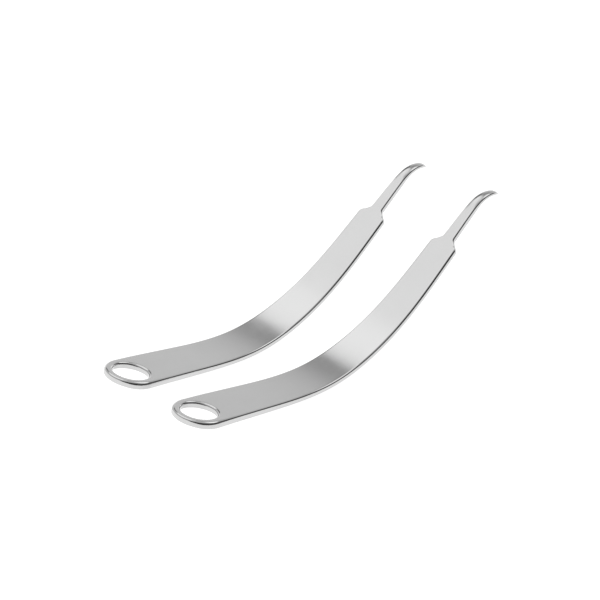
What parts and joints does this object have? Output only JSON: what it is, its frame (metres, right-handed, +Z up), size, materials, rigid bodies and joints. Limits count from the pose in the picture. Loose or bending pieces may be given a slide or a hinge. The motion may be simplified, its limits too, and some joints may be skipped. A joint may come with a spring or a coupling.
{
  "type": "cheek retractor pair",
  "caption": "Pair of bent steel cheek retractors, each one strip with a round handle end, hanging hole, tapering curved blade, shoulders, narrow neck and hooked point.",
  "frame": {"origin": "on the ground, under the middle of the pair's bounding box", "axes": "+X from the handle ends towards the hooks, +Y from the front tool towards the rear one, +Z up; the tools lie on their curved bellies"},
  "size_m": [0.1562, 0.0494, 0.0378],
  "materials": {
    "satin_steel": "satin ground faces, polished rims"
  },
  "bodies": {
    "rear": {"rear_retractor": "satin_steel"},
    "front": {"front_retractor": "satin_steel"}
  },
  "joints": [
    {"name": "front_lift", "type": "slide", "parent": "rear", "child": "front", "axis": [0, 0, 1], "range_m": [0, 0.1]}
  ]
}
